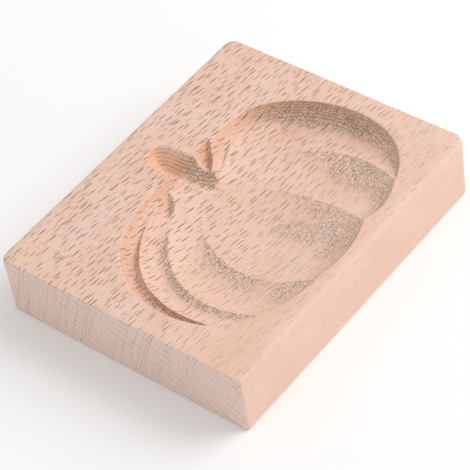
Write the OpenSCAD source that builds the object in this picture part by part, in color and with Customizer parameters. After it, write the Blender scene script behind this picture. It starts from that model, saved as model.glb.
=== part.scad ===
// Cookie stamp: one block of beech with a pumpkin carved into its top face.
// Millimetres. +X runs along the grain, +Y towards the pumpkin's stalk, +Z up.
// The origin is the middle of the underside.

/* [Block] */
// Length along the grain
block_length = 100; // [96:0.5:130]
// Width across the grain
block_width = 81; // [78:0.5:110]
// Thickness of the board
block_height = 19.2; // [14:0.2:30]
// Radius of the three rounded upright corners
corner_radius = 3; // [1:0.5:8]
// Radius of the upright corner that was left nearly sharp
sharp_corner_radius = 0.8; // [0.4:0.1:3]

/* [Pumpkin] */
// Width of the front of the pumpkin, rim to rim
pumpkin_width = 85; // [60:0.5:88]
// Height of the front of the pumpkin, top rim to bottom rim
pumpkin_height = 56; // [40:0.5:57]
// How far the bottom rim of the middle lobe lies below the block's centre line
pumpkin_drop = 37; // [34:0.5:38]
// Depth of the bowl at its middle
bowl_depth = 6.8; // [4:0.1:9]
// How far the floor of the outer left lobe lies below its crests
side_sag = 2.6; // [0.5:0.1:3]
// How far the floors of the inner lobes lie below their crests
lobe_sag = 1.5; // [0.3:0.1:2.5]
// How far the rim bows out between two notches
rim_bow = 1.7; // [0:0.1:2.5]

/* [Back lobes] */
// Greatest depth of the lobe behind the pumpkin, left of the stalk
left_back_depth = 5.6; // [2.5:0.1:7]
// Greatest depth of the lobe nearest to the stalk on the right
inner_back_depth = 4.8; // [2.5:0.1:7]
// Greatest depth of the outer lobe on the right
outer_back_depth = 5.2; // [2.5:0.1:7]

/* [Stalk] */
// Greatest depth of the stalk's round tip
stalk_depth = 4.6; // [2.5:0.1:7]
// How much deeper again the middle of the stalk's round tip is
stalk_dip = 1; // [0:0.1:2]
// Width of the stalk's round tip
stalk_width = 8.5; // [6:0.1:11]
// How far the stalk's tip lies above the block's centre line
stalk_reach = 30.5; // [26:0.5:36]

/* [Hidden] */

// Least depth of any cut, so that every rim is a clean upright edge
rim_step = 0.02;
// How far the cutters stand above the top face, each a little more than the last
cutter_rise = 1;
cutter_stagger = 0.4;

// The figure is laid out at this size and stretched to the sizes above
LAID_WIDTH = 85;
LAID_HEIGHT = 56;
LAID_DROP = 37;
LAID_DEPTH = 6.8;
LAID_STALK_WIDTH = 8.5;
LAID_STALK_REACH = 30.5;
LAID_STALK_X = 2.5;

// Curves of the front lobes, each from the stalk's foot to the bottom rim:
// the left rim, five crests, the right rim
LOBE_CURVES = [
    [[-2.5, 19.2], [-36, 24], [-48.5, -1.5], [-39.4, -22]],
    [[-0.5, 18.5], [-34, 18.5], [-42, -4], [-38.9, -22.6]],
    [[0.8, 16], [-27.5, 11], [-38, -11], [-29.5, -31.5]],
    [[1.8, 12.8], [-15.5, 5.5], [-25.5, -21.5], [-10, -36.4]],
    [[6, 10.5], [14.5, 2], [17.3, -23], [11, -34.6]],
    [[8.8, 13.1], [30, 8], [38, -16], [27.3, -33]],
    [[22.5, 18.5], [42, 20], [55, -23], [28, -32.9]]
];

// Depth of each curve at the stalk's foot, just past it, and in the full bowl,
// at the laid-out depth
CREST_ROOT = [0, 1.4, 2.6, 3.8, 5.4, 4, 0];
CREST_SHOULDER = [0, 2.5, 4, 5.6, 6, 5.2, 0];
CREST_FULL = [0, 3.6, 5.2, 6.4, 6.8, 6.6, 0];
// How far along the curve its shoulder lies, and how late it climbs to the rim
CREST_STEP = [0.03, 0.03, 0.03, 0.045, 0.2, 0.12, 0.2];
CREST_CLIMB = [1, 1.3, 1.7, 2.2, 2.4, 2.2, 1];
CREST_POWER = 0.8;
SHOULDER_END = 0.4;

// Each front lobe, left to right: its sag, how hollow its section is, how far that
// leans to the right, where along its length it opens, over what length, and its
// share of the rim bow
LOBE_SAG = [side_sag, 1.27 * lobe_sag, 1.07 * lobe_sag, lobe_sag, lobe_sag, 0.53 * lobe_sag];
LOBE_HOLLOW = [0.8, 1, 1.1, 1, 1.1, 0.8];
LOBE_LEAN = [1.5, 1, 1, 1, 1, 1];
LOBE_OPENS = [0.14, 0.1, 0.1, 0.1, 0.15, 0.15];
LOBE_OPENING = [0.26, 0.3, 0.4, 0.45, 0.55, 0.5];
LOBE_BOW = [0, 0.6, 0.7, 1, 1.05, 0];
LOBE_STEPS = [8, 7, 8, 10, 8, 12];
// Steepness of the outer walls, left and right
LEFT_WALL = 2.5;
RIGHT_WALL = 10;
WALL_START = 0.1;
WALL_SOFTNESS = 0.4;
// How late the lobes close, and how late their rim bows, as powers along their length
LOBE_CLOSE = 6;
RIM_BOW_RISE = 4;
LOBE_ROWS = 56;

// Lobes behind the front ones: the side towards the front lobes and the rim side,
// both from the lower end to the far tip, then four depths along the floor as
// shares of the greatest depth
LEFT_BACK = [
    [[-13, 13], [-8, 11.6], [-5.8, 16], [-4.6, 19.3]],
    [[-16.6, 15.6], [-15.5, 20.2], [-9, 20.8], [-5, 19.9]]
];
INNER_BACK = [
    [[7.6, 13.2], [10.5, 15], [13, 17.5], [13.6, 19.4]],
    [[4.9, 14.2], [4.6, 19], [8, 20.4], [13.2, 20]]
];
OUTER_BACK = [
    [[6.8, 10.2], [12, 13.6], [20.5, 15.6], [24.8, 18.2]],
    [[5.4, 12.6], [9, 17.6], [14, 21.2], [24.4, 18.9]]
];
// Left and right side of the stalk, from its tip to its foot
STALK = [
    [[2, 30.5], [-5.5, 30], [-1.5, 20], [-0.5, 9.5]],
    [[2.9, 30.5], [9.3, 31.2], [3.4, 20], [10.5, 10.5]]
];
LEFT_BACK_FLOOR = [0.3, 1.6, 0.94, 0];
INNER_BACK_FLOOR = [0.22, 1.63, 0.98, 0];
OUTER_BACK_FLOOR = [0.2, 1.5, 1, 0];
STALK_FLOOR = [0, 1.2, 0.9, 1.38];
// Where the floor of each groove lies across it, as a share of its width
BACK_FOOT = [0.3, 0.3, 0.25];
STALK_FOOT = 0.38;
// How hollow the section is on each side of the floor
BACK_HOLLOW = [0.6, 0.7];
STALK_HOLLOW = [0.5, 0.7];
// Where along the stalk its dip lies, and half its length
DIP_MIDDLE = 0.42;
DIP_REACH = 0.22;
// The stalk stretches from this far above the centre line, over this length
STRETCH_START = 15;
STRETCH_LENGTH = 15;
// How far the ends of a groove are bowed, as a share of its width, and how soon
// the bow fades along it
END_BOW = 0.2;
BOW_FADE = 4;
GROOVE_COLUMNS = 12;
GROOVE_ROWS = 22;

function smooth(x) = let (t = max(0, min(1, x))) t * t * (3 - 2 * t);

function bezier(p, t) =
    pow(1 - t, 3) * p[0] + 3 * pow(1 - t, 2) * t * p[1]
    + 3 * (1 - t) * t * t * p[2] + pow(t, 3) * p[3];

// Values from 0 to 1 that crowd towards both ends
function crowded(n) = [for (i = [0:n]) (1 - cos(180 * i / n)) / 2];

// A laid-out point of the front of the pumpkin at its set size
function place(p) = [
    p[0] * pumpkin_width / LAID_WIDTH,
    (p[1] + LAID_DROP) * pumpkin_height / LAID_HEIGHT - pumpkin_drop
];

function crest_depth(k, v) =
    let (
        step = sin(90 * min(1, v / CREST_STEP[k])),
        laid = CREST_ROOT[k]
            + (CREST_SHOULDER[k] - CREST_ROOT[k]) * step
            + (CREST_FULL[k] - CREST_SHOULDER[k]) * smooth(v / SHOULDER_END)
    )
    laid * bowl_depth / LAID_DEPTH * pow(max(0, 1 - pow(v, CREST_CLIMB[k])), CREST_POWER);

// How much of the right-hand curve's depth counts at u, with steep outer walls
function blend(k, u, v) =
    let (
        lift = smooth(v / WALL_START),
        wall = k == 0 ? LEFT_WALL : RIGHT_WALL,
        power = 1 + (wall - 1) * lift,
        soft = 1 - WALL_SOFTNESS * lift
    )
    k == 0 ? pow(1 - pow(1 - u, power), soft)
    : k == 5 ? 1 - pow(1 - pow(u, power), soft)
    : u;

function lobe_depth(k, u, v) =
    let (
        w = blend(k, u, v),
        leant = pow(u, LOBE_LEAN[k]),
        arch = pow(max(0, 1 - pow(2 * leant - 1, 2)), LOBE_HOLLOW[k]),
        opened = smooth((v - LOBE_OPENS[k]) / LOBE_OPENING[k]) * sqrt(1 - pow(v, LOBE_CLOSE))
    )
    crest_depth(k, v) * (1 - w) + crest_depth(k + 1, v) * w + LOBE_SAG[k] * arch * opened;

function lobe_point(k, u, v) =
    let (
        a = LOBE_CURVES[k],
        b = LOBE_CURVES[k + 1],
        chord = b[3] - a[3],
        outward = [chord[1], -chord[0]] / norm(chord),
        bow = rim_bow * LOBE_BOW[k] * (1 - pow(2 * u - 1, 2)) * pow(v, RIM_BOW_RISE),
        p = place(bezier(a, v) * (1 - u) + bezier(b, v) * u + bow * outward)
    )
    [p[0], p[1], block_height - max(rim_step, lobe_depth(k, u, v))];

// All columns of the front lobes as pairs of lobe number and place across it
FRONT_COLUMNS = concat(
    [for (k = [0:5]) let (c = crowded(LOBE_STEPS[k])) for (i = [0:LOBE_STEPS[k] - 1]) [k, c[i]]],
    [[5, 1]]
);

// Unit vector square to the chord between the ends of two curves, to its left
function across(a, b) = let (c = b - a) [-c[1], c[0]] / norm(c);

// Both ends of a groove are bowed outwards by a share of their width
function groove_point(sides, floor_line, deepest, dip, foot, hollow, u, v) =
    let (
        near_bow = across(sides[0][0], sides[1][0]) * norm(sides[1][0] - sides[0][0]) * pow(1 - v, BOW_FADE),
        far_bow = across(sides[0][3], sides[1][3]) * norm(sides[1][3] - sides[0][3]) * pow(v, BOW_FADE),
        bow = (near_bow - far_bow) * END_BOW * (1 - pow(2 * u - 1, 2)),
        p = bezier(sides[0], v) * (1 - u) + bezier(sides[1], v) * u + bow,
        x = u < foot ? u / foot : (1 - u) / (1 - foot),
        section = pow(max(0, sin(90 * x)), 2 * (u < foot ? hollow[0] : hollow[1])),
        dipped = dip * pow(max(0, 1 - pow((v - DIP_MIDDLE) / DIP_REACH, 2)), 2),
        depth = (deepest * bezier(floor_line, v) + dipped) * section
    )
    [p[0], p[1], block_height - max(rim_step, depth)];

// Closed solid between a grid of points (rows of columns) and a flat lid above it
module cutter(grid, rise) {
    rows = len(grid);
    cols = len(grid[0]);
    edge = concat(
        [for (j = [0:cols - 1]) [0, j]],
        [for (i = [1:rows - 1]) [i, cols - 1]],
        [for (j = [cols - 2:-1:0]) [rows - 1, j]],
        [for (i = [rows - 2:-1:1]) [i, 0]]
    );
    rim = len(edge);
    floor_points = [for (row = grid) each row];
    lid_points = [for (e = edge) let (p = grid[e[0]][e[1]]) [p[0], p[1], block_height + rise]];
    base = rows * cols;
    floor_faces = [
        for (i = [0:rows - 2]) for (j = [0:cols - 2])
            let (a = i * cols + j, b = a + 1, c = a + cols, d = c + 1)
            each [[a, c, b], [b, c, d]]
    ];
    wall_faces = [
        for (n = [0:rim - 1])
            let (
                m = (n + 1) % rim,
                a = edge[n][0] * cols + edge[n][1],
                b = edge[m][0] * cols + edge[m][1]
            )
            each [[a, b, base + m], [a, base + m, base + n]]
    ];
    lid_face = [[for (n = [0:rim - 1]) base + n]];
    polyhedron(concat(floor_points, lid_points), concat(floor_faces, wall_faces, lid_face));
}

module front_lobes() {
    v = crowded(LOBE_ROWS);
    cutter([for (j = [0:LOBE_ROWS]) [for (c = FRONT_COLUMNS) lobe_point(c[0], c[1], v[j])]], cutter_rise);
}

module groove(sides, floor_line, deepest, dip, foot, hollow, order) {
    u = crowded(GROOVE_COLUMNS);
    v = crowded(GROOVE_ROWS);
    cutter(
        [for (j = [0:GROOVE_ROWS]) [for (i = [0:GROOVE_COLUMNS])
            groove_point(sides, floor_line, deepest, dip, foot, hollow, u[i], v[j])]],
        cutter_rise + cutter_stagger * order
    );
}

module stalk() {
    width = stalk_width / LAID_STALK_WIDTH;
    sides = [for (s = STALK) [for (p = s) [
        LAID_STALK_X + (p[0] - LAID_STALK_X) * width,
        p[1] + (stalk_reach - LAID_STALK_REACH) * smooth((p[1] - STRETCH_START) / STRETCH_LENGTH)
    ]]];
    groove(sides, STALK_FLOOR, stalk_depth, stalk_dip, STALK_FOOT, STALK_HOLLOW, 1);
}

module back_lobes() {
    groove(LEFT_BACK, LEFT_BACK_FLOOR, left_back_depth, 0, BACK_FOOT[0], BACK_HOLLOW, 2);
    groove(INNER_BACK, INNER_BACK_FLOOR, inner_back_depth, 0, BACK_FOOT[1], BACK_HOLLOW, 3);
    groove(OUTER_BACK, OUTER_BACK_FLOOR, outer_back_depth, 0, BACK_FOOT[2], BACK_HOLLOW, 4);
}

// Outline of the board: three rounded corners and one nearly sharp
module board_outline() {
    x = block_length / 2;
    y = block_width / 2;
    r = corner_radius;
    s = sharp_corner_radius;
    past_edge = 1;
    difference() {
        square([block_length, block_width], center = true);
        for (c = [[1, 1, r], [-1, 1, r], [1, -1, r], [-1, -1, s]])
            translate([c[0] * (x - c[2]), c[1] * (y - c[2])])
                difference() {
                    side = c[2] + past_edge;
                    translate([min(0, c[0] * side), min(0, c[1] * side)])
                        square(side);
                    circle(c[2], $fn = 48);
                }
    }
}

module stamp_block() {
    color([0.89, 0.73, 0.63])
    difference() {
        linear_extrude(block_height) board_outline();
        front_lobes();
        stalk();
        back_lobes();
    }
}

stamp_block();
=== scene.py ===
"""Cookie stamp: one block of beech with a pumpkin carved into its top face.

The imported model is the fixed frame, and the block's size comes from it. Lengths are
in millimetres until a mesh is made. The axes are the frame's: +X along the grain,
+Y towards the pumpkin's stalk, +Z up, from the middle of the underside.
"""

import logging
import math
from dataclasses import dataclass
from enum import Enum

import bpy
import numpy as np
from mathutils import Matrix, Vector
from mathutils.geometry import delaunay_2d_cdt


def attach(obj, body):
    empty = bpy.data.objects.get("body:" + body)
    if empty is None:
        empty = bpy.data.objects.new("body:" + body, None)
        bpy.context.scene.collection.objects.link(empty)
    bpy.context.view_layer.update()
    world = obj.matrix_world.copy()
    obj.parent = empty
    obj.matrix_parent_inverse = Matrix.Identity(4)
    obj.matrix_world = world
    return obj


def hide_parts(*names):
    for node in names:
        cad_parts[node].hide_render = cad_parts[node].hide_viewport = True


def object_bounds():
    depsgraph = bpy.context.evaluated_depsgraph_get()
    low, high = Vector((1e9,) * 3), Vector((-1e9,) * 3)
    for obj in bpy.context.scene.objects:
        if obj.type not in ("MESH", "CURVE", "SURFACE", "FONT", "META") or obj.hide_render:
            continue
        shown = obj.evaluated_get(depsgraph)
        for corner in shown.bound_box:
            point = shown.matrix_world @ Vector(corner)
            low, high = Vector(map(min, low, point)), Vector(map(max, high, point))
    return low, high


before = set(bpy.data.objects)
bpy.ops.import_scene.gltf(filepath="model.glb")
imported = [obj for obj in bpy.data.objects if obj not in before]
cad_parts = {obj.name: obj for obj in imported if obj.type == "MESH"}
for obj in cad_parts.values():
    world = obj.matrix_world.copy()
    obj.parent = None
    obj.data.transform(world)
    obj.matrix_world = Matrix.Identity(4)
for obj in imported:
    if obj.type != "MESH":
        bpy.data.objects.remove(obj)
CAD_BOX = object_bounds()

MM = 0.001
NODE = "stamp_block"
log = logging.getLogger("cookie_stamp")

Socket = bpy.types.NodeSocket
Colour = tuple[float, float, float, float]
Place = tuple[float, float]
Area = tuple[float, float, float, float]
Three = tuple[Socket, Socket, Socket]


def smooth(x: np.ndarray | float) -> np.ndarray:
    """A soft step from 0 to 1.

    Args:
        x: Where along the step, below 0 and above 1 too.

    Returns:
        Values from 0 to 1.
    """
    t = np.clip(x, 0.0, 1.0)
    return t * t * (3.0 - 2.0 * t)


def crowded(count: int) -> np.ndarray:
    """Values from 0 to 1 that crowd towards both ends.

    Args:
        count: How many steps to take.

    Returns:
        One value more than there are steps.
    """
    return (1.0 - np.cos(np.pi * np.arange(count + 1) / count)) / 2.0


def arch(u: np.ndarray) -> np.ndarray:
    """0 at both ends of u and 1 in its middle."""
    return np.clip(1.0 - (2.0 * u - 1.0) ** 2, 0.0, 1.0)


@dataclass(frozen=True)
class Bezier:
    """A cubic curve on the block's face, by its four control points."""

    start: Place
    leave: Place
    arrive: Place
    end: Place

    def at(self, v: np.ndarray) -> np.ndarray:
        """Points on the curve.

        Args:
            v: Where along the curve, from 0 to 1, of any shape.

        Returns:
            The same shape with x and y added as a last axis.
        """
        t = np.asarray(v, float)[..., None]
        p = [np.array(q) for q in (self.start, self.leave, self.arrive, self.end)]
        return (
            (1 - t) ** 3 * p[0] + 3 * (1 - t) ** 2 * t * p[1]
            + 3 * (1 - t) * t * t * p[2] + t ** 3 * p[3]
        )


@dataclass(frozen=True)
class Crest:
    """A curve between two lobes, from the stalk's foot to the bottom rim."""

    line: Bezier
    root: float = 0.0
    shoulder: float = 0.0
    full: float = 0.0
    step: float = 0.2
    climb: float = 1.0
    settled: float = 0.4
    landing: float = 0.8

    def depth(self, v: np.ndarray) -> np.ndarray:
        """How far the crest lies below the face.

        Args:
            v: Where along the crest.

        Returns:
            Depths in millimetres.
        """
        rise = np.sin(np.clip(v / self.step, 0, 1) * np.pi / 2)
        laid = self.root + (self.shoulder - self.root) * rise
        laid = laid + (self.full - self.shoulder) * smooth(v / self.settled)
        return laid * np.clip(1.0 - v ** self.climb, 0, 1) ** self.landing


class Wall(Enum):
    """Which side of a lobe climbs steeply to the pumpkin's rim."""

    NONE = "none"
    LEFT = "left"
    RIGHT = "right"


@dataclass(frozen=True)
class Lobe:
    """The hollow between two neighbouring crests."""

    sag: float
    hollow: float
    opens: float
    opening: float
    bow: float = 0.0
    lean: float = 1.0
    wall: Wall = Wall.NONE
    steepness: float = 1.0
    wall_start: float = 0.1
    wall_softness: float = 0.4
    bow_rise: int = 4
    close: int = 6

    def share(self, u: np.ndarray, v: np.ndarray) -> np.ndarray:
        """How much of the right-hand crest's depth counts.

        Args:
            u: Where across the lobe.
            v: Where along the lobe.

        Returns:
            Shares from 0 to 1.
        """
        lift = smooth(v / self.wall_start)
        power = 1.0 + (self.steepness - 1.0) * lift
        soft = 1.0 - self.wall_softness * lift
        if self.wall is Wall.LEFT:
            return (1.0 - (1.0 - u) ** power) ** soft
        if self.wall is Wall.RIGHT:
            return 1.0 - (1.0 - u ** power) ** soft
        return u

    def surface(self, left: Crest, right: Crest, u: np.ndarray, v: np.ndarray) -> np.ndarray:
        """Points on the lobe's floor.

        Args:
            left: The crest on its left.
            right: The crest on its right.
            u: Where across the lobe.
            v: Where along the lobe.

        Returns:
            x, y and depth for each pair of u and v.
        """
        chord = np.array(right.line.end) - np.array(left.line.end)
        outward = np.array([chord[1], -chord[0]]) / np.hypot(*chord)
        bow = (self.bow * arch(u) * v ** self.bow_rise)[..., None] * outward
        place = left.line.at(v) * (1 - u)[..., None] + right.line.at(v) * u[..., None] + bow
        share = self.share(u, v)
        depth = left.depth(v) * (1 - share) + right.depth(v) * share
        opened = smooth((v - self.opens) / self.opening) * np.sqrt(np.clip(1 - v ** self.close, 0, 1))
        depth = depth + self.sag * arch(u ** self.lean) ** self.hollow * opened
        return np.concatenate([place, depth[..., None]], axis=-1)


@dataclass(frozen=True)
class Groove:
    """A short hollow between two side curves: the stalk or a back lobe."""

    name: str
    front: Bezier
    rear: Bezier
    floor: tuple[float, float, float, float]
    deepest: float
    foot: float
    front_hollow: float = 0.6
    rear_hollow: float = 0.7
    dip: float = 0.0
    dip_middle: float = 0.42
    dip_reach: float = 0.22
    end_bow: float = 0.2
    bow_fade: int = 4

    def surface(self, u: np.ndarray, v: np.ndarray) -> np.ndarray:
        """Points on the groove's floor.

        Args:
            u: Where across the groove.
            v: Where along the groove.

        Returns:
            x, y and depth for each pair of u and v.
        """
        near = np.array(self.rear.start) - np.array(self.front.start)
        far = np.array(self.rear.end) - np.array(self.front.end)
        bow = ((1 - v) ** self.bow_fade)[..., None] * np.array([-near[1], near[0]])
        bow = bow - (v ** self.bow_fade)[..., None] * np.array([-far[1], far[0]])
        bow = bow * (self.end_bow * arch(u))[..., None]
        place = self.front.at(v) * (1 - u)[..., None] + self.rear.at(v) * u[..., None] + bow
        x = np.where(u < self.foot, u / self.foot, (1 - u) / (1 - self.foot))
        power = 2.0 * np.where(u < self.foot, self.front_hollow, self.rear_hollow)
        section = np.sin(np.clip(x, 0, 1) * np.pi / 2) ** power
        f = self.floor
        along = (
            (1 - v) ** 3 * f[0] + 3 * (1 - v) ** 2 * v * f[1]
            + 3 * (1 - v) * v * v * f[2] + v ** 3 * f[3]
        )
        dipped = self.dip * np.clip(1 - ((v - self.dip_middle) / self.dip_reach) ** 2, 0, 1) ** 2
        depth = (self.deepest * along + dipped) * section
        return np.concatenate([place, depth[..., None]], axis=-1)


class Pumpkin:
    """The whole figure: front lobes, back lobes and stalk, as surfaces under the face."""

    CRESTS = (
        Crest(Bezier((-2.5, 19.2), (-36, 24), (-48.5, -1.5), (-39.4, -22))),
        Crest(Bezier((-0.5, 18.5), (-34, 18.5), (-42, -4), (-38.9, -22.6)), 1.4, 2.5, 3.6, 0.03, 1.3),
        Crest(Bezier((0.8, 16), (-27.5, 11), (-38, -11), (-29.5, -31.5)), 2.6, 4.0, 5.2, 0.03, 1.7),
        Crest(Bezier((1.8, 12.8), (-15.5, 5.5), (-25.5, -21.5), (-10, -36.4)), 3.8, 5.6, 6.4, 0.045, 2.2),
        Crest(Bezier((6, 10.5), (14.5, 2), (17.3, -23), (11, -34.6)), 5.4, 6.0, 6.8, 0.2, 2.4),
        Crest(Bezier((8.8, 13.1), (30, 8), (38, -16), (27.3, -33)), 4.0, 5.2, 6.6, 0.12, 2.2),
        Crest(Bezier((22.5, 18.5), (42, 20), (55, -23), (28, -32.9))),
    )
    LOBES = (
        Lobe(2.6, 0.8, 0.14, 0.26, lean=1.5, wall=Wall.LEFT, steepness=2.5),
        Lobe(1.9, 1.0, 0.1, 0.3, bow=1.0),
        Lobe(1.6, 1.1, 0.1, 0.4, bow=1.2),
        Lobe(1.5, 1.0, 0.1, 0.45, bow=1.7),
        Lobe(1.5, 1.1, 0.15, 0.55, bow=1.8),
        Lobe(0.8, 0.8, 0.15, 0.5, wall=Wall.RIGHT, steepness=10.0),
    )
    GROOVES = (
        Groove(
            "stalk",
            Bezier((2, 30.5), (-5.5, 30), (-1.5, 20), (-0.5, 9.5)),
            Bezier((2.9, 30.5), (9.3, 31.2), (3.4, 20), (10.5, 10.5)),
            (0, 1.2, 0.9, 1.38), 4.6, 0.38, front_hollow=0.5, dip=1.0,
        ),
        Groove(
            "left back lobe",
            Bezier((-13, 13), (-8, 11.6), (-5.8, 16), (-4.6, 19.3)),
            Bezier((-16.6, 15.6), (-15.5, 20.2), (-9, 20.8), (-5, 19.9)),
            (0.3, 1.6, 0.94, 0), 5.6, 0.3,
        ),
        Groove(
            "inner back lobe",
            Bezier((7.6, 13.2), (10.5, 15), (13, 17.5), (13.6, 19.4)),
            Bezier((4.9, 14.2), (4.6, 19), (8, 20.4), (13.2, 20)),
            (0.22, 1.63, 0.98, 0), 4.8, 0.3,
        ),
        Groove(
            "outer back lobe",
            Bezier((6.8, 10.2), (12, 13.6), (20.5, 15.6), (24.8, 18.2)),
            Bezier((5.4, 12.6), (9, 17.6), (14, 21.2), (24.4, 18.9)),
            (0.2, 1.5, 1, 0), 5.2, 0.25,
        ),
    )
    LOBE_GRID = (260, 22)
    GROOVE_GRID = (90, 40)
    LINE_STEPS = 241
    EDGE_STEPS = 81

    def patches(self) -> list[np.ndarray]:
        """The surfaces as grids of x, y and depth.

        Returns:
            One array of rows by columns by 3 for each lobe and groove.
        """
        rows, cols = self.LOBE_GRID
        u, v = np.meshgrid(crowded(cols), crowded(rows))
        pairs = zip(self.LOBES, self.CRESTS, self.CRESTS[1:])
        grids = [lobe.surface(left, right, u, v) for lobe, left, right in pairs]
        rows, cols = self.GROOVE_GRID
        u, v = np.meshgrid(crowded(cols), crowded(rows))
        return grids + [groove.surface(u, v) for groove in self.GROOVES]

    def lines(self) -> list[np.ndarray]:
        """The curves where the carving turns sharply: crests, rims and groove sides.

        Returns:
            Polylines of x and y.
        """
        v = np.linspace(0, 1, self.LINE_STEPS)
        found = [crest.line.at(v) for crest in self.CRESTS]
        edge = np.linspace(0, 1, self.EDGE_STEPS)
        for lobe, left, right in zip(self.LOBES, self.CRESTS, self.CRESTS[1:]):
            found.append(lobe.surface(left, right, edge, np.ones_like(edge))[:, :2])
        for groove in self.GROOVES:
            for u in (0.0, 1.0):
                found.append(groove.surface(np.full_like(edge, u), edge)[:, :2])
            for v_end in (0.0, 1.0):
                found.append(groove.surface(edge, np.full_like(edge, v_end))[:, :2])
        return found

    def cutter(self, face: float) -> bpy.types.Object:
        """All surfaces as one loose mesh, to be met by rays from below.

        Args:
            face: Height of the block's top face, in millimetres.

        Returns:
            An object that isn't part of the stamp and is removed after use.
        """
        points: list[np.ndarray] = []
        quads: list[np.ndarray] = []
        base = 0
        for grid in self.patches():
            rows, cols, _ = grid.shape
            spots = grid.reshape(-1, 3).copy()
            spots[:, 2] = face - spots[:, 2]
            n = np.arange(rows * cols).reshape(rows, cols)
            ring = np.stack([n[:-1, :-1], n[:-1, 1:], n[1:, 1:], n[1:, :-1]], axis=-1)
            quads.append(ring.reshape(-1, 4) + base)
            points.append(spots)
            base += rows * cols
        mesh = bpy.data.meshes.new("Cutter_Path")
        mesh.from_pydata((np.concatenate(points) * MM).tolist(), [], np.concatenate(quads).tolist())
        cutter = bpy.data.objects.new("Cutter_Path", mesh)
        bpy.context.scene.collection.objects.link(cutter)
        return cutter


@dataclass
class Board:
    """The plain block: its outline, rounded corners and softened edges."""

    length: float
    width: float
    height: float
    corner: float = 3.0
    sharp_corner: float = 0.8
    long_edge: float = 1.7
    end_edge: float = 0.4
    under_edge: float = 0.6
    corner_steps: int = 10
    edge_steps: int = 6
    stride: float = 0.8
    corner_share: float = 0.7
    edge_run: float = 14.0
    figure_margin: float = 0.3

    @classmethod
    def from_frame(cls) -> "Board":
        """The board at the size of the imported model.

        Returns:
            A board with every other size as written here.
        """
        low, high = CAD_BOX
        length, width, height = ((high[i] - low[i]) / MM for i in range(3))
        return cls(length, width, height)

    def outline(self) -> tuple[np.ndarray, np.ndarray, np.ndarray]:
        """The outline seen from above, anticlockwise.

        Returns:
            Points, outward unit vectors and the radius of the top edge at each point.
        """
        half = np.array([self.length, self.width]) / 2
        corners = (((1, -1), self.corner, -90), ((1, 1), self.corner, 0),
                   ((-1, 1), self.corner, 90), ((-1, -1), self.sharp_corner, 180))
        points, normals, radii = [], [], []
        for n, (sign, radius, start) in enumerate(corners):
            middle = np.array(sign) * (half - radius)
            turn = np.radians(start + 90 * np.arange(self.corner_steps + 1) / self.corner_steps)
            around = np.stack([np.cos(turn), np.sin(turn)], axis=-1)
            points.append(middle + radius * around)
            normals.append(around)
            radii.append(self._softness(around, radius))
            next_sign, next_radius, _ = corners[(n + 1) % 4]
            target = np.array(next_sign) * (half - next_radius) + next_radius * around[-1]
            run = np.hypot(*(target - points[-1][-1]))
            share = np.linspace(0, 1, int(run / self.stride) + 1)[1:-1, None]
            points.append(points[-1][-1] * (1 - share) + target * share)
            normals.append(np.repeat(around[-1:], len(share), axis=0))
            ends = [self._softness(around[-1:], r)[0] for r in (radius, next_radius)]
            full = self._softness(around[-1:], self.width)[0]
            near = np.minimum(share, 1 - share)[:, 0] * run
            blend = smooth(near / self.edge_run)
            radii.append((ends[0] + (ends[1] - ends[0]) * share[:, 0]) * (1 - blend) + full * blend)
        return np.concatenate(points), np.concatenate(normals), np.concatenate(radii)

    def _softness(self, normal: np.ndarray, corner: float) -> np.ndarray:
        """How soft the top edge is.

        Args:
            normal: Outward unit vectors of the sides, seen from above.
            corner: Radius of the upright corner that they belong to.

        Returns:
            The top edge's radius for each.
        """
        along = np.abs(normal[:, 1])
        wanted = self.end_edge + (self.long_edge - self.end_edge) * along
        return np.minimum(wanted, self.corner_share * corner)


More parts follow.
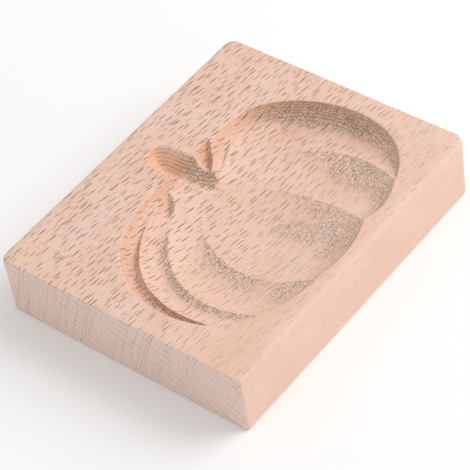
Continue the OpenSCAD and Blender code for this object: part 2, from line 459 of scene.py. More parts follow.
@dataclass
class SheetPlan:
    """Where the face gets its points: in rows along each sharp line, and evenly between."""

    along: float = 0.36
    offsets: tuple[float, ...] = (0.0, 0.09, -0.09, 0.21, -0.21, 0.38, -0.38, 0.62, -0.62)
    bowl_pitch: float = 0.5
    stalk_pitch: float = 0.3
    flat_pitch: float = 2.2
    figure: Area = (-44.5, 44.5, -38.6, 31.6)
    stalk: Area = (-18, 26, 6.5, 31.6)
    reach: float = 1.4
    seeds: tuple[int, int, int] = (3, 5, 7)
    gaps: tuple[float, float, float, float] = (0.085, 0.17, 0.26, 0.8)
    jitter: float = 0.12

    def rows(self, line: np.ndarray, offset: float) -> np.ndarray:
        """Evenly spaced points beside a line.

        Args:
            line: The polyline.
            offset: How far to its left they lie.

        Returns:
            Points of x and y.
        """
        steps = np.hypot(*np.diff(line, axis=0).T)
        run = np.concatenate([[0.0], np.cumsum(steps)])
        places = np.linspace(0, run[-1], max(3, int(run[-1] / self.along)))
        spots = np.stack([np.interp(places, run, line[:, i]) for i in (0, 1)], axis=-1)
        ahead = np.gradient(spots, axis=0)
        ahead /= np.hypot(*ahead.T)[:, None] + 1e-12
        return spots + offset * np.stack([-ahead[:, 1], ahead[:, 0]], axis=-1)

    def lattice(self, area: Area, pitch: float, seed: int) -> np.ndarray:
        """Evenly spread points over a rectangle, each moved a little.

        Args:
            area: Lowest and highest x, lowest and highest y.
            pitch: How far apart they are.
            seed: Fixes how they are moved.

        Returns:
            Points of x and y.
        """
        x, y = np.meshgrid(np.arange(area[0], area[1], pitch), np.arange(area[2], area[3], pitch * 0.87))
        x[1::2] += pitch / 2
        spots = np.stack([x.ravel(), y.ravel()], axis=-1)
        moved = np.random.default_rng(seed).uniform(-self.jitter, self.jitter, spots.shape)
        return spots + moved * pitch

    @staticmethod
    def thin(spots: np.ndarray, cell: float) -> np.ndarray:
        """Keeps the first point in each square cell.

        Args:
            spots: Points, the most wanted ones first.
            cell: Side of a cell.

        Returns:
            The points that are kept.
        """
        keys = np.round(spots / cell).astype(np.int64)
        _, first = np.unique(keys[:, 0] * 1_000_003 + keys[:, 1], return_index=True)
        return spots[np.sort(first)]

    @staticmethod
    def clear_of(spots: np.ndarray, taken: np.ndarray, gap: float) -> np.ndarray:
        """Drops the points that lie next to others.

        Args:
            spots: Points to choose from.
            taken: Points that stay.
            gap: Side of the cells that are compared with their neighbours.

        Returns:
            The points with no other one in their own or a neighbouring cell.
        """
        origin = np.floor(taken.min(axis=0) / gap) - 2
        size = (np.floor(taken.max(axis=0) / gap) - origin + 4).astype(int)
        grid = np.zeros(size, bool)
        cells = (np.floor(taken / gap) - origin).astype(int)
        for dx in (-1, 0, 1):
            for dy in (-1, 0, 1):
                grid[cells[:, 0] + dx, cells[:, 1] + dy] = True
        own = (np.floor(spots / gap) - origin).astype(int)
        inside = ((own >= 0) & (own < size)).all(axis=1)
        blocked = np.zeros(len(spots), bool)
        blocked[inside] = grid[own[inside, 0], own[inside, 1]]
        return spots[~blocked]

    def points(self, lines: list[np.ndarray], rim: np.ndarray) -> np.ndarray:
        """All points of the face inside its rim.

        Args:
            lines: The figure's sharp lines.
            rim: The outline of the flat face, which is left to the caller.

        Returns:
            Points of x and y.
        """
        fine = np.concatenate([self.rows(line, offset) for offset in self.offsets for line in lines])
        fine = self.thin(fine, self.gaps[0])
        stalk = self.clear_of(self.lattice(self.stalk, self.stalk_pitch, self.seeds[0]), fine, self.gaps[1])
        fine = np.concatenate([fine, stalk])
        bowl = self.clear_of(self.lattice(self.figure, self.bowl_pitch, self.seeds[1]), fine, self.gaps[2])
        fine = np.concatenate([fine, bowl])
        low, high = rim.min(axis=0) + self.reach, rim.max(axis=0) - self.reach
        flat = self.lattice((low[0], high[0], low[1], high[1]), self.flat_pitch, self.seeds[2])
        return np.concatenate([fine, self.clear_of(flat, fine, self.gaps[3])])


class NodeBench:
    """Adds nodes to one tree, sets their inputs and joins them."""

    def __init__(self, tree: bpy.types.NodeTree) -> None:
        """Starts with an empty tree."""
        self.tree = tree
        tree.nodes.clear()

    def add(self, kind: str, inputs: dict | None = None, **settings: object) -> bpy.types.Node:
        """A new node.

        Args:
            kind: Blender's name for the node.
            inputs: Sockets to join, or values to set, by input name or number.
            **settings: Properties of the node itself.

        Returns:
            The node.
        """
        node = self.tree.nodes.new(kind)
        node.location = (220 * (len(self.tree.nodes) % 12), -260 * (len(self.tree.nodes) // 12))
        for name, value in settings.items():
            setattr(node, name, value)
        for key, value in (inputs or {}).items():
            self.feed(node.inputs[key], value)
        return node

    def feed(self, socket: Socket, value: object) -> None:
        """Joins a socket to an output, or sets its value.

        Args:
            socket: The input.
            value: The output to join, or the value.
        """
        if isinstance(value, Socket):
            self.tree.links.new(value, socket)
        else:
            socket.default_value = value

    def math(self, operation: str, *values: object) -> Socket:
        """The result of a Math node.

        Args:
            operation: Blender's name for what it does.
            *values: Its inputs, as sockets or numbers.

        Returns:
            The result.
        """
        node = self.add("ShaderNodeMath", operation=operation)
        for socket, value in zip(node.inputs, values):
            self.feed(socket, value)
        return node.outputs[0]

    def vector(self, operation: str, *values: object) -> Socket:
        """The result of a Vector Math node that gives a vector.

        Args:
            operation: Blender's name for what it does.
            *values: Its inputs, as sockets or vectors.

        Returns:
            The result.
        """
        node = self.add("ShaderNodeVectorMath", operation=operation)
        for socket, value in zip(node.inputs, values):
            self.feed(socket, value)
        return node.outputs[0]

    def times(self, product: object, *others: object) -> Socket:
        """The product of several values.

        Args:
            product: The first.
            *others: The rest.

        Returns:
            The product.
        """
        for value in others:
            product = self.math("MULTIPLY", product, value)
        return product

    def apart(self, vector: object) -> Three:
        """A vector's three numbers."""
        return tuple(self.add("ShaderNodeSeparateXYZ", {0: vector}).outputs)

    def together(self, x: object, y: object, z: object) -> Socket:
        """A vector from three numbers."""
        return self.add("ShaderNodeCombineXYZ", {0: x, 1: y, 2: z}).outputs[0]

    def span(self, value: object, low: float, high: float, out: Place = (0.0, 1.0)) -> Socket:
        """A value softly mapped from a range.

        Args:
            value: The value.
            low: Where the range starts.
            high: Where it ends; it may lie below low.
            out: What the two ends give.

        Returns:
            The mapped value.
        """
        flipped = high < low
        ends = (high, low) if flipped else (low, high)
        given = (out[1], out[0]) if flipped else out
        node = self.add("ShaderNodeMapRange", {
            "Value": value, "From Min": ends[0], "From Max": ends[1],
            "To Min": given[0], "To Max": given[1],
        }, interpolation_type="SMOOTHSTEP")
        return node.outputs["Result"]

    def blend(self, share: object, first: object, second: object) -> Socket:
        """Two colours mixed.

        Args:
            share: How much the second counts.
            first: The colour underneath.
            second: The colour on top.

        Returns:
            The mixed colour.
        """
        node = self.add("ShaderNodeMix", data_type="RGBA", clamp_factor=True)
        self.feed(node.inputs[0], share)
        for socket, value in ((node.inputs[6], first), (node.inputs[7], second)):
            self.feed(socket, value)
        return node.outputs[2]

    def noise(self, place: object, scale: float, detail: float = 2.0, rough: float = 0.5) -> Socket:
        """Smooth noise around one half.

        Args:
            place: Where it is read, in its own units.
            scale: How many features a unit holds.
            detail: How many finer layers are added.
            rough: How much each finer layer counts.

        Returns:
            The noise value.
        """
        node = self.add("ShaderNodeTexNoise", {
            "Vector": place, "Scale": scale, "Detail": detail, "Roughness": rough,
        })
        return node.outputs["Fac"]


class CarvedBlock:
    """The stamp itself: the board's mesh with the pumpkin sunk into its face."""

    SOFT_PASSES = 3
    MERGE = 1e-6
    NAME = "Carved_Beech_Block"

    def __init__(self, board: Board, pumpkin: Pumpkin, plan: SheetPlan) -> None:
        """Keeps the sizes that the block is made from."""
        self.board = board
        self.pumpkin = pumpkin
        self.plan = plan

    def blank(self) -> bpy.types.Object:
        """The uncarved block, with its face finely divided where the figure goes.

        Returns:
            An object whose attribute "carve" is 1 on the points that may sink.
        """
        board = self.board
        outline, normals, radii = board.outline()
        count = len(outline)
        rings = []
        for n in range(board.edge_steps + 1):
            turn = math.pi / 2 * n / board.edge_steps
            inset = (radii * (1 - math.sin(turn)))[:, None]
            drop = radii * (1 - math.cos(turn))
            rings.append(np.column_stack([outline - normals * inset, board.height - drop]))
        for n in range(board.edge_steps + 1):
            turn = math.pi / 2 * (1 - n / board.edge_steps)
            under = min(board.under_edge, board.corner_share * board.sharp_corner)
            inset = under * (1 - math.sin(turn))
            drop = np.full(count, under * (1 - math.cos(turn)))
            rings.append(np.column_stack([outline - normals * inset, drop]))

        face_rim = rings[0][:, :2]
        inner = self.plan.points(self.pumpkin.lines(), face_rim)
        flat = np.concatenate([face_rim, inner])
        loop = list(range(count))
        flat = [Vector(p) for p in flat.tolist()]
        places, _, faces, origins, _, _ = delaunay_2d_cdt(flat, [], [loop], 1, self.MERGE)
        places = np.array([p[:] for p in places])
        at = {old: new for new, olds in enumerate(origins) for old in olds}
        verts = [np.column_stack([places, np.full(len(places), board.height)])]
        lower = rings[1:]
        verts.extend(lower)
        steps = [[at[i] for i in loop]]
        steps += [[len(places) + count * n + i for i in loop] for n in range(len(lower))]
        for above, below in zip(steps, steps[1:]):
            for i in loop:
                j = (i + 1) % count
                faces.append((above[i], below[i], below[j], above[j]))
        faces.append(tuple(reversed(steps[-1])))

        mesh = bpy.data.meshes.new(self.NAME)
        mesh.from_pydata((np.concatenate(verts) * MM).tolist(), [], [tuple(f) for f in faces])
        carve = np.zeros(sum(len(v) for v in verts), np.float32)
        low_x, high_x, low_y, high_y = self.plan.figure
        margin = board.figure_margin
        inside = (
            (places[:, 0] > low_x - margin) & (places[:, 0] < high_x + margin)
            & (places[:, 1] > low_y - margin) & (places[:, 1] < high_y + margin)
        )
        carve[: len(places)] = inside
        mesh.attributes.new("carve", "FLOAT", "POINT").data.foreach_set("value", carve)
        block = bpy.data.objects.new(self.NAME, mesh)
        bpy.context.scene.collection.objects.link(block)
        return block

    def carving_tree(self) -> bpy.types.NodeTree:
        """The rule that sinks the face: each point drops to the lowest cut under it.

        Returns:
            A Geometry Nodes tree with inputs for the cutter's path, the soft passes
            and the finish.
        """
        tree = bpy.data.node_groups.new("Sink_The_Face", "GeometryNodeTree")
        bench = NodeBench(tree)
        side = tree.interface
        side.new_socket("Geometry", in_out="INPUT", socket_type="NodeSocketGeometry")
        side.new_socket("Cutter Path", in_out="INPUT", socket_type="NodeSocketObject")
        passes = side.new_socket("Soft Passes", in_out="INPUT", socket_type="NodeSocketInt")
        passes.default_value = self.SOFT_PASSES
        side.new_socket("Finish", in_out="INPUT", socket_type="NodeSocketMaterial")
        side.new_socket("Geometry", in_out="OUTPUT", socket_type="NodeSocketGeometry")
        given = bench.add("NodeGroupInput").outputs
        cuts = bench.add(
            "GeometryNodeObjectInfo", {"Object": given["Cutter Path"]}, transform_space="ORIGINAL",
        )
        place = bench.add("GeometryNodeInputPosition").outputs[0]
        x, y, _ = bench.apart(place)
        below = bench.together(x, y, 0.0)
        ray = bench.add("GeometryNodeRaycast", {
            "Target Geometry": cuts.outputs["Geometry"], "Source Position": below,
            "Ray Direction": (0.0, 0.0, 1.0), "Ray Length": 1.0,
        }).outputs
        carve = bench.add(
            "GeometryNodeInputNamedAttribute", {"Name": "carve"}, data_type="FLOAT",
        ).outputs[0]
        may = bench.math("MULTIPLY", ray["Is Hit"], carve)
        sunk = bench.add("GeometryNodeSetPosition", {
            "Geometry": given["Geometry"], "Selection": may, "Position": ray["Hit Position"],
        })
        soft = bench.add("GeometryNodeBlurAttribute", {
            "Iterations": given["Soft Passes"], "Weight": carve,
        }, data_type="FLOAT_VECTOR")
        bench.feed(next(s for s in soft.inputs if s.name == "Value" and s.enabled), place)
        blurred = next(s for s in soft.outputs if s.enabled)
        eased = bench.add("GeometryNodeSetPosition", {"Geometry": sunk.outputs[0], "Position": blurred})
        shaded = bench.add("GeometryNodeSetShadeSmooth", {"Geometry": eased.outputs[0]})
        whole = bench.add("GeometryNodeRealizeInstances", {"Geometry": shaded.outputs[0]})
        dressed = bench.add("GeometryNodeSetMaterial", {
            "Geometry": whole.outputs[0], "Material": given["Finish"],
        })
        bench.add("NodeGroupOutput", {0: dressed.outputs[0]})
        return tree

    def build(self, finish: bpy.types.Material) -> bpy.types.Object:
        """The finished piece, riding on the frame in place of the CAD node.

        Args:
            finish: The material it wears.

        Returns:
            The object.
        """
        block = self.blank()
        cutter = self.pumpkin.cutter(self.board.height)
        tree = self.carving_tree()
        modifier = block.modifiers.new("Sink", "NODES")
        modifier.node_group = tree
        values = {"Cutter Path": cutter, "Soft Passes": self.SOFT_PASSES, "Finish": finish}
        for item in tree.interface.items_tree:
            if item.in_out == "INPUT" and item.name in values:
                modifier[item.identifier] = values[item.name]
        block.update_tag()
        seen = block.evaluated_get(bpy.context.evaluated_depsgraph_get())
        carved = bpy.data.meshes.new_from_object(seen)
        block.modifiers.clear()
        block.data = carved
        carved.name = self.NAME
        bpy.data.objects.remove(cutter, do_unlink=True)
        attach(block, "root")
        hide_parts(NODE)
        log.info("%s: %d points, %d faces", self.NAME, len(carved.vertices), len(carved.polygons))
        return block


@dataclass(frozen=True)
class Flecks:
    """One kind of ray in the wood: how far apart they lie, and half of one's size.

    Each triple counts along the grain, across it and out from the pith, in millimetres.
    """

    apart: tuple[float, float, float]
    half: tuple[float, float, float]
    spread: float
    shift: float


@dataclass(frozen=True)
class Band:
    """A range of a value, and what its two ends give."""

    low: float
    high: float
    least: float = 0.0
    most: float = 1.0

    def of(self, bench: NodeBench, value: object) -> Socket:
        """The value softly mapped by this band."""
        return bench.span(value, self.low, self.high, (self.least, self.most))


@dataclass(frozen=True)
class Point:
    """What the finish reads at one point of the piece, in millimetres."""

    mm: Socket
    at: Three
    facing: Three
    grain: Three
    carved: Socket
    flat: Socket
    cloud: Socket


@dataclass(frozen=True)
class BeechFinish:
    """Sanded beech seen on its face, its side, its ends and in the cuts.

    Colours are linear. Lengths are in millimetres.
    """

    name: str = "Sanded_Beech"
    pale: Colour = (0.845, 0.585, 0.468, 1)
    warm: Colour = (0.82, 0.53, 0.405, 1)
    lilac: Colour = (0.83, 0.6, 0.52, 1)
    fleck: Colour = (0.03, 0.018, 0.01, 1)
    fleck_rim: Colour = (0.9, 0.65, 0.53, 1)
    ring: Colour = (0.71, 0.44, 0.33, 1)
    light_fibre: Colour = (0.93, 0.7, 0.58, 1)
    # End grain's own tone, lightened as painted fill light.
    end_grain_and_fill_light: Colour = (0.86, 0.66, 0.58, 1)
    end_line: Colour = (0.5, 0.33, 0.24, 1)
    # The next five colours are painted light and shade in the carving: a dark brown of painted shade on
    # walls facing away from the key lamp, a light orange of painted bounce light on those walls and painted
    # highlights on fibres, an amber of painted warm light in the stalk, an orange of painted light on steep
    # walls, and a dark tone for cut marks that also serves as painted shade in torn grain.
    shade_brown: Colour = (0.40, 0.16, 0.07, 1)
    painted_light_wood: Colour = (0.97, 0.74, 0.62, 1)
    amber: Colour = (0.95, 0.58, 0.38, 1)
    lit_wall: Colour = (0.80, 0.40, 0.21, 1)
    cut_mark_and_shade: Colour = (0.22, 0.2, 0.12, 1)

    grain_turn: float = 5.6
    grain_dip: float = 3.0
    pith: Place = (140.0, -380.0)
    drift_scale: float = 0.02
    wander: float = 1.6
    cloud_scale: float = 0.07
    cloud_band: Band = Band(0.3, 0.7)
    tint_size: Place = (60.0, 5.0)
    tint_band: Band = Band(0.55, 0.72, 0.0, 0.7)
    ring_width: float = 2.3
    ring_wave: float = 2.5
    ring_share: float = 0.22
    late_start: Band = Band(0.55, 0.97)
    late_end: Band = Band(1.0, 0.97)
    fibre_size: Place = (11.0, 0.42)
    fibre_dark: Band = Band(0.42, 0.2, 0.0, 0.4)
    fibre_light: Band = Band(0.55, 0.8, 0.0, 0.35)

    upright: Band = Band(0.6, 0.95)
    pore_scale: float = 3.2
    pore_band: Band = Band(0.5, 0.75, 0.0, 0.35)
    end_ray_size: Place = (40.0, 0.5)
    end_ray_depth: float = 9.0
    end_ray_band: Band = Band(0.58, 0.75, 0.0, 0.55)
    end_ring_share: float = 0.3
    side_tint: float = 0.3

    rays: Flecks = Flecks((4.6, 1.2, 40.0), (1.95, 0.12, 34.0), 0.35, 0.0)
    small_rays: Flecks = Flecks((3.4, 1.2, 26.0), (0.9, 0.06, 16.0), 0.3, 37.0)
    ray_fade: Band = Band(-42.0, 12.0, 0.32, 1.0)
    side_loss: float = 0.6
    end_loss: float = 0.7
    ray_rim: Band = Band(2.0, 1.0, 0.0, 0.3)
    ray_edge: Band = Band(1.0, 0.85)
    ray_strengths: tuple[Band, Band] = (Band(0.9, 0.2, 0.6, 0.7), Band(0.9, 0.2, 0.8, 1.0))

    bowl: Area = (-45.0, 45.0, -38.8, 32.0)
    bowl_edge: Place = (0.1, 0.5)
    bowl_reach: float = 9.0
    # Carved walls that face away from the key lamp (towards -X and +Y) get painted shade in patches and
    # painted bounce light.
    away_from_key_weights: Place = (-1.0, 0.55)
    unlit_wall_band: Band = Band(0.3, 0.95)
    unlit_wall_lightening: float = 0.6
    patch_scale: float = 0.11
    shade_patch_band: Band = Band(0.48, 0.66, 0.0, 0.5)
    stalk_bounce_band: Band = Band(17.0, 23.0, 0.0, 0.45)
    glow_band: Band = Band(0.05, 0.5, 0.0, 0.24)
    torn_scale: float = 2.7
    torn_patch: float = 0.7
    shaded_fibre_band: Band = Band(0.38, 0.62)
    torn_end: Band = Band(23.0, 17.0, 0.35, 1.0)
    fibre_highlight_band: Band = Band(0.44, 0.32, 0.0, 0.6)
    torn_shade_band: Band = Band(0.53, 0.6)
    torn_shade_share: float = 0.8
    step_pitch: float = 0.8
    step_slope: Band = Band(0.06, 0.3)
    step_band: Band = Band(0.1, 0.9)
    step_away_from_key: Band = Band(-0.3, 0.35, 0.15, 1.0)
    step_patch: Band = Band(0.36, 0.56, 0.3, 1.0)
    step_share: float = 0.45

    fibre_height: float = 0.05
    fleck_height: float = -0.03
    torn_height: float = -0.08
    step_height: float = -0.04
    bump: float = 0.7
    roughness: float = 0.52
    fibre_roughness: float = 0.16
    sheen: float = 0.3

    def grain(self, bench: NodeBench, mm: Socket) -> Three:
        """The wood's own directions, wandering a little.

        Args:
            bench: Where the nodes are added.
            mm: The point on the piece.

        Returns:
            How far along the grain, around the pith and out from it the point lies.
        """
        noise = {"Vector": mm, "Scale": self.drift_scale, "Detail": 2.0}
        drift = bench.add("ShaderNodeTexNoise", noise).outputs["Color"]
        drift = bench.vector("SUBTRACT", drift, (0.5, 0.5, 0.5))
        drift = bench.vector("MULTIPLY", drift, (0.0, self.wander * 2, self.wander * 2))
        place = bench.vector("ADD", mm, drift)
        for axis, turn in (((0, 0, 1), self.grain_turn), ((0, 1, 0), -self.grain_dip)):
            place = bench.add("ShaderNodeVectorRotate", {
                "Vector": place, "Axis": axis, "Angle": math.radians(turn),
            }, rotation_type="AXIS_ANGLE").outputs[0]
        along, y, z = bench.apart(place)
        aside = bench.math("SUBTRACT", y, self.pith[0])
        above = bench.math("SUBTRACT", z, self.pith[1])
        squares = bench.math("ADD", bench.times(aside, aside), bench.times(above, above))
        turned = bench.math("ARCTAN2", aside, above)
        return along, bench.times(turned, math.hypot(*self.pith)), bench.math("SQRT", squares)

    def ray_marks(self, bench: NodeBench, point: Point, kind: Flecks) -> tuple[Socket, Socket]:
        """Where the rays of one kind meet the surface.

        Args:
            bench: Where the nodes are added.
            point: The point on the piece.
            kind: The rays' sizes.

        Returns:
            How far out of each ray the point lies, 1 at its edge, and a number of its own.
        """
        along, across, out = (bench.math("DIVIDE", point.grain[n], kind.apart[n]) for n in range(3))
        place = bench.together(bench.math("ADD", along, kind.shift), across, out)
        cells = bench.add("ShaderNodeTexVoronoi", {"Vector": place, "Scale": 1.0}).outputs
        own = bench.add("ShaderNodeSeparateColor", {0: cells["Color"]}).outputs[0]
        shares = tuple(gap / size for gap, size in zip(kind.apart, kind.half))
        off = bench.vector("MULTIPLY", bench.vector("SUBTRACT", place, cells["Position"]), shares)
        reach = bench.add("ShaderNodeVectorMath", {0: off}, operation="LENGTH").outputs["Value"]
        size = bench.math("SUBTRACT", 1.0, bench.times(own, kind.spread))
        return bench.math("DIVIDE", reach, size), own

    def streaks(self, bench: NodeBench, grain: Three, size: Place) -> Socket:
        """Fine fibres: noise drawn out along the grain.

        Args:
            bench: Where the nodes are added.
            grain: The point by the wood's own directions.
            size: How long and how wide a fibre is.

        Returns:
            The noise value.
        """
        length, width = size
        shares = zip(grain, (length, width, width))
        place = bench.together(*(bench.math("DIVIDE", way, part) for way, part in shares))
        return bench.noise(place, 1.0)

    def in_bowl(self, bench: NodeBench, at: Three, top: float) -> Socket:
        """1 in the carving and 0 on the block's flat face and sides.

        Args:
            bench: Where the nodes are added.
            at: The point's x, y and z.
            top: Height of the face.

        Returns:
            The mask.
        """
        x, y, z = at
        low_x, high_x, low_y, high_y = self.bowl
        limits = (("GREATER_THAN", x, low_x), ("LESS_THAN", x, high_x), ("GREATER_THAN", y, low_y),
                  ("LESS_THAN", y, high_y), ("GREATER_THAN", z, top - self.bowl_reach))
        sunk = bench.span(z, top - self.bowl_edge[0], top - self.bowl_edge[1])
        return bench.times(sunk, *(bench.math(*limit) for limit in limits))

    def read(self, bench: NodeBench, top: float) -> Point:
        """Reads the point that is being shaded.

        Args:
            bench: Where the nodes are added.
            top: Height of the face.

        Returns:
            Its place, facing and grain, and whether it lies in the carving.
        """
        where = bench.add("ShaderNodeTexCoord").outputs
        scaled = bench.add("ShaderNodeVectorMath", {0: where["Object"], "Scale": 1 / MM}, operation="SCALE")
        mm = scaled.outputs[0]
        at = bench.apart(mm)
        carved = self.in_bowl(bench, at, top)
        return Point(
            mm, at, bench.apart(where["Normal"]), self.grain(bench, mm), carved,
            bench.math("SUBTRACT", 1.0, carved), bench.noise(mm, self.cloud_scale, 3.0),
        )

    def wood(self, bench: NodeBench, point: Point) -> Three:
        """The plain wood: clouds, lilac streaks, year rings and fibres.

        Args:
            bench: Where the nodes are added.
            point: The point on the piece.

        Returns:
            The colour, how much late wood there is, and the fibres' noise.
        """
        colour = bench.blend(self.cloud_band.of(bench, point.cloud), self.pale, self.warm)
        streak = self.streaks(bench, point.grain, self.tint_size)
        colour = bench.blend(self.tint_band.of(bench, streak), colour, self.lilac)
        rings = bench.math("DIVIDE", point.grain[2], self.ring_width)
        year = bench.math("FRACT", bench.math("ADD", rings, bench.times(point.cloud, self.ring_wave)))
        late = bench.times(self.late_start.of(bench, year), self.late_end.of(bench, year))
        colour = bench.blend(bench.times(late, self.ring_share), colour, self.ring)
        fibre = self.streaks(bench, point.grain, self.fibre_size)
        colour = bench.blend(self.fibre_dark.of(bench, fibre), colour, self.ring)
        colour = bench.blend(self.fibre_light.of(bench, fibre), colour, self.light_fibre)
        return colour, late, fibre

    def ends(self, bench: NodeBench, point: Point, colour: Socket, late: Socket) -> tuple[Socket, Socket]:
        """End grain on the two ends: pores, thin upright rays and ring lines.

        Args:
            bench: Where the nodes are added.
            point: The point on the piece.
            colour: The colour so far.
            late: How much late wood there is.

        Returns:
            The colour, and 1 on the ends.
        """
        # The ends take the end grain's own tone, lightened as painted fill light for the dim ends.
        ends = bench.times(self.upright.of(bench, bench.math("ABSOLUTE", point.facing[0])), point.flat)
        colour = bench.blend(ends, colour, self.end_grain_and_fill_light)
        pores = bench.noise(point.mm, self.pore_scale, 2.0, 0.7)
        colour = bench.blend(bench.times(ends, self.pore_band.of(bench, pores)), colour, self.end_line)
        along, around, out = point.grain
        drawn = (along, around, bench.math("DIVIDE", out, self.end_ray_depth))
        lines = self.streaks(bench, drawn, self.end_ray_size)
        colour = bench.blend(bench.times(ends, self.end_ray_band.of(bench, lines)), colour, self.end_line)
        year_line = bench.times(late, ends, self.end_ring_share)
        return bench.blend(year_line, colour, self.end_line), ends

    def flecks(self, bench: NodeBench, point: Point, colour: Socket, ends: Socket) -> Three:
        """Dark ray flecks, which fade towards the near side.

        Args:
            bench: Where the nodes are added.
            point: The point on the piece.
            colour: The colour so far.
            ends: 1 on the ends.

        Returns:
            The colour, how much fleck there is, and 1 on the long sides.
        """
        side = bench.times(self.upright.of(bench, bench.math("ABSOLUTE", point.facing[1])), point.flat)
        plain = self.ray_fade.of(bench, point.at[1])
        for where, loss in ((side, self.side_loss), (ends, self.end_loss)):
            plain = bench.times(plain, bench.math("SUBTRACT", 1.0, bench.times(where, loss)))
        marks = None
        for kind, strength in zip((self.small_rays, self.rays), self.ray_strengths):
            out, own = self.ray_marks(bench, point, kind)
            halo = bench.times(self.ray_rim.of(bench, out), plain)
            colour = bench.blend(halo, colour, self.fleck_rim)
            mark = bench.times(self.ray_edge.of(bench, out), plain, strength.of(bench, own))
            colour = bench.blend(mark, colour, self.fleck)
            marks = mark if marks is None else bench.math("MAXIMUM", marks, mark)
        return colour, marks, side

    def cuts(self, bench: NodeBench, point: Point, colour: Socket, side: Socket) -> Three:
        """Colour in the carving: the cutter's torn grain and fine steps, with painted shade and painted
        bounce light on walls facing away from the key lamp, and painted warm light in the stalk and on
        steep walls.

        Args:
            bench: Where the nodes are added.
            point: The point on the piece.
            colour: The colour so far.
            side: 1 on the long sides.

        Returns:
            The colour, the torn grain's specks (painted shade in the colour, real bumps in the height), and
            where a step's edge lies.
        """
        carved = point.carved
        slope = bench.math("SUBTRACT", 1.0, point.facing[2])
        # How far each surface faces away from the key lamp: such walls are lightened as painted bounce
        # light, then darkened in patches as painted shade.
        parts = [bench.times(way, weight) for way, weight in zip(point.facing, self.away_from_key_weights)]
        away_from_key = bench.math("ADD", *parts)
        unlit_walls = bench.times(self.unlit_wall_band.of(bench, away_from_key), carved)
        patch = bench.noise(point.mm, self.patch_scale)
        colour = bench.blend(bench.times(unlit_walls, self.unlit_wall_lightening), colour, self.painted_light_wood)
        colour = bench.blend(bench.times(unlit_walls, self.shade_patch_band.of(bench, patch)), colour, self.shade_brown)
        colour = bench.blend(bench.times(side, self.side_tint), colour, self.lilac)
        # Painted warm bounce light in the stalk's deep hollow.
        stalk_bounce = bench.times(self.stalk_bounce_band.of(bench, point.at[1]), carved)
        colour = bench.blend(stalk_bounce, colour, self.amber)
        # Painted light: steep carved walls turn a warm orange, as bounce light would make them.
        glow = bench.times(self.glow_band.of(bench, slope), carved)
        colour = bench.blend(glow, colour, self.lit_wall)

        # Torn grain on walls facing away from the key lamp: the specks are real bumps, but their dark and
        # light colours are painted shade and painted highlights.
        fuzz = bench.noise(point.mm, self.torn_scale, 0.6, 0.7)
        unlit_and_patchy = bench.math("ADD", away_from_key, bench.times(patch, self.torn_patch))
        climb = bench.times(self.shaded_fibre_band.of(bench, unlit_and_patchy), carved, self.torn_end.of(bench, point.at[1]))
        fibre_highlight = bench.times(climb, self.fibre_highlight_band.of(bench, fuzz))
        colour = bench.blend(fibre_highlight, colour, self.painted_light_wood)
        torn_and_shaded = bench.times(climb, self.torn_shade_band.of(bench, fuzz))
        colour = bench.blend(bench.times(torn_and_shaded, self.torn_shade_share), colour, self.cut_mark_and_shade)

        # The cutter's fine steps are real tool marks, drawn darker on walls facing away from the key lamp
        # as painted shade.
        pitch = bench.math("SINE", bench.times(point.at[2], 2 * math.pi / self.step_pitch))
        steps = bench.times(
            self.step_slope.of(bench, slope), carved, self.step_band.of(bench, pitch),
            self.step_away_from_key.of(bench, away_from_key), self.step_patch.of(bench, patch),
        )
        return bench.blend(bench.times(steps, self.step_share), colour, self.cut_mark_and_shade), torn_and_shaded, steps

    def material(self, top: float) -> bpy.types.Material:
        """The finish as a Blender material.

        Args:
            top: Height of the block's face.

        Returns:
            A material that reads the piece's own coordinates.
        """
        finish = bpy.data.materials.new(self.name)
        finish.use_nodes = True
        bench = NodeBench(finish.node_tree)
        point = self.read(bench, top)
        colour, late, fibre = self.wood(bench, point)
        colour, ends = self.ends(bench, point, colour, late)
        colour, marks, side = self.flecks(bench, point, colour, ends)
        colour, torn_and_shaded, steps = self.cuts(bench, point, colour, side)

        height = bench.times(fibre, self.fibre_height)
        sizes = (self.fleck_height, self.torn_height, self.step_height)
        for part, size in zip((marks, torn_and_shaded, steps), sizes):
            height = bench.math("ADD", height, bench.times(part, size))
        bump = bench.add("ShaderNodeBump", {"Height": height, "Distance": MM, "Strength": self.bump})
        rough = bench.math("ADD", bench.times(fibre, self.fibre_roughness), self.roughness)
        shader = bench.add("ShaderNodeBsdfPrincipled", {
            "Base Color": colour, "Roughness": rough, "Specular IOR Level": self.sheen,
            "Normal": bump.outputs[0],
        })
        bench.add("ShaderNodeOutputMaterial", {0: shader.outputs[0]})
        return finish



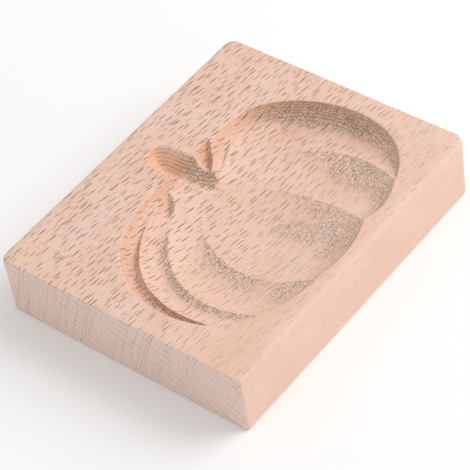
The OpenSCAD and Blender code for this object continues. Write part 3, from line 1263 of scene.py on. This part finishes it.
@dataclass
class Studio:
    """A plain pale floor, soft light from the right, and the camera."""

    azimuth: float = -44.8768
    elevation: float = 45.7008
    roll: float = -10.2059
    distance: float = 617.417
    across: float = -2.0428
    up: float = 3.1622
    focal_px: float = 2276.583
    image_px: int = 470
    sensor: float = 36.0
    floor_size: float = 6.0
    key_from: tuple[float, float, float] = (0.62, -0.46, 0.72)
    key_distance: float = 1.3
    key_size: float = 0.9
    key_watts: float = 9.0
    sky: float = 0.68
    floor_paint: Colour = (0.985, 0.985, 0.985, 1)
    clip_start: float = 0.01

    def camera(self) -> None:
        """Looks at the block as the photograph does."""
        a, e, r = (math.radians(x) for x in (self.azimuth, self.elevation, self.roll))
        back = Vector((math.sin(a) * math.cos(e), -math.cos(a) * math.cos(e), math.sin(e)))
        level = Vector((0, 0, 1)).cross(back).normalized()
        upright = back.cross(level)
        right = math.cos(r) * level + math.sin(r) * upright
        top = math.cos(r) * upright - math.sin(r) * level
        place = (back * self.distance + right * self.across + top * self.up) * MM
        data = bpy.data.cameras.new("Camera")
        data.sensor_width = self.sensor
        data.lens = self.focal_px * self.sensor / self.image_px
        data.clip_start = self.clip_start
        camera = bpy.data.objects.new("Camera", data)
        turn = Matrix((right, top, back)).transposed().to_4x4()
        camera.matrix_world = Matrix.Translation(place) @ turn
        bpy.context.scene.collection.objects.link(camera)
        bpy.context.scene.camera = camera

    def floor(self) -> None:
        """A pale floor that reaches out of view."""
        half = self.floor_size / 2
        mesh = bpy.data.meshes.new("Floor")
        corners = [(-half, -half, 0), (half, -half, 0), (half, half, 0), (-half, half, 0)]
        mesh.from_pydata(corners, [], [(0, 1, 2, 3)])
        floor = bpy.data.objects.new("Floor", mesh)
        bpy.context.scene.collection.objects.link(floor)
        paint = bpy.data.materials.new("Pale_Floor")
        paint.use_nodes = True
        bench = NodeBench(paint.node_tree)
        shader = bench.add("ShaderNodeBsdfDiffuse", {"Color": self.floor_paint})
        bench.add("ShaderNodeOutputMaterial", {0: shader.outputs[0]})
        mesh.materials.append(paint)

    def light(self) -> None:
        """One large lamp up on the right, and an even sky."""
        lamp = bpy.data.lights.new("Key", "AREA")
        lamp.size = self.key_size
        lamp.energy = self.key_watts
        holder = bpy.data.objects.new("Key", lamp)
        aim = Vector(self.key_from).normalized()
        holder.location = aim * self.key_distance
        holder.rotation_euler = aim.to_track_quat("Z", "Y").to_euler()
        bpy.context.scene.collection.objects.link(holder)
        world = bpy.data.worlds.new("Sky")
        bpy.context.scene.world = world
        world.use_nodes = True
        bench = NodeBench(world.node_tree)
        path = bench.add("ShaderNodeLightPath").outputs
        seen = bench.math("MAXIMUM", path["Is Camera Ray"], path["Is Glossy Ray"])
        strength = bench.math("ADD", bench.math("MULTIPLY", seen, 1.0 - self.sky), self.sky)
        glow = bench.add("ShaderNodeBackground", {"Color": (1, 1, 1, 1), "Strength": strength})
        bench.add("ShaderNodeOutputWorld", {0: glow.outputs[0]})

    def build(self) -> None:
        """Sets up the whole scene round the stamp."""
        self.camera()
        self.floor()
        self.light()
        bpy.context.scene.view_settings.view_transform = "Standard"
        log.info("Studio: camera, floor and light")


def main() -> None:
    """Builds the stamp and its studio, and logs the stamp's point and face counts."""
    logging.basicConfig(level=logging.INFO, format="%(name)s: %(message)s")
    Studio().build()
    board = Board.from_frame()
    finish = BeechFinish().material(board.height)
    CarvedBlock(board, Pumpkin(), SheetPlan()).build(finish)


if __name__ == "__main__":
    main()
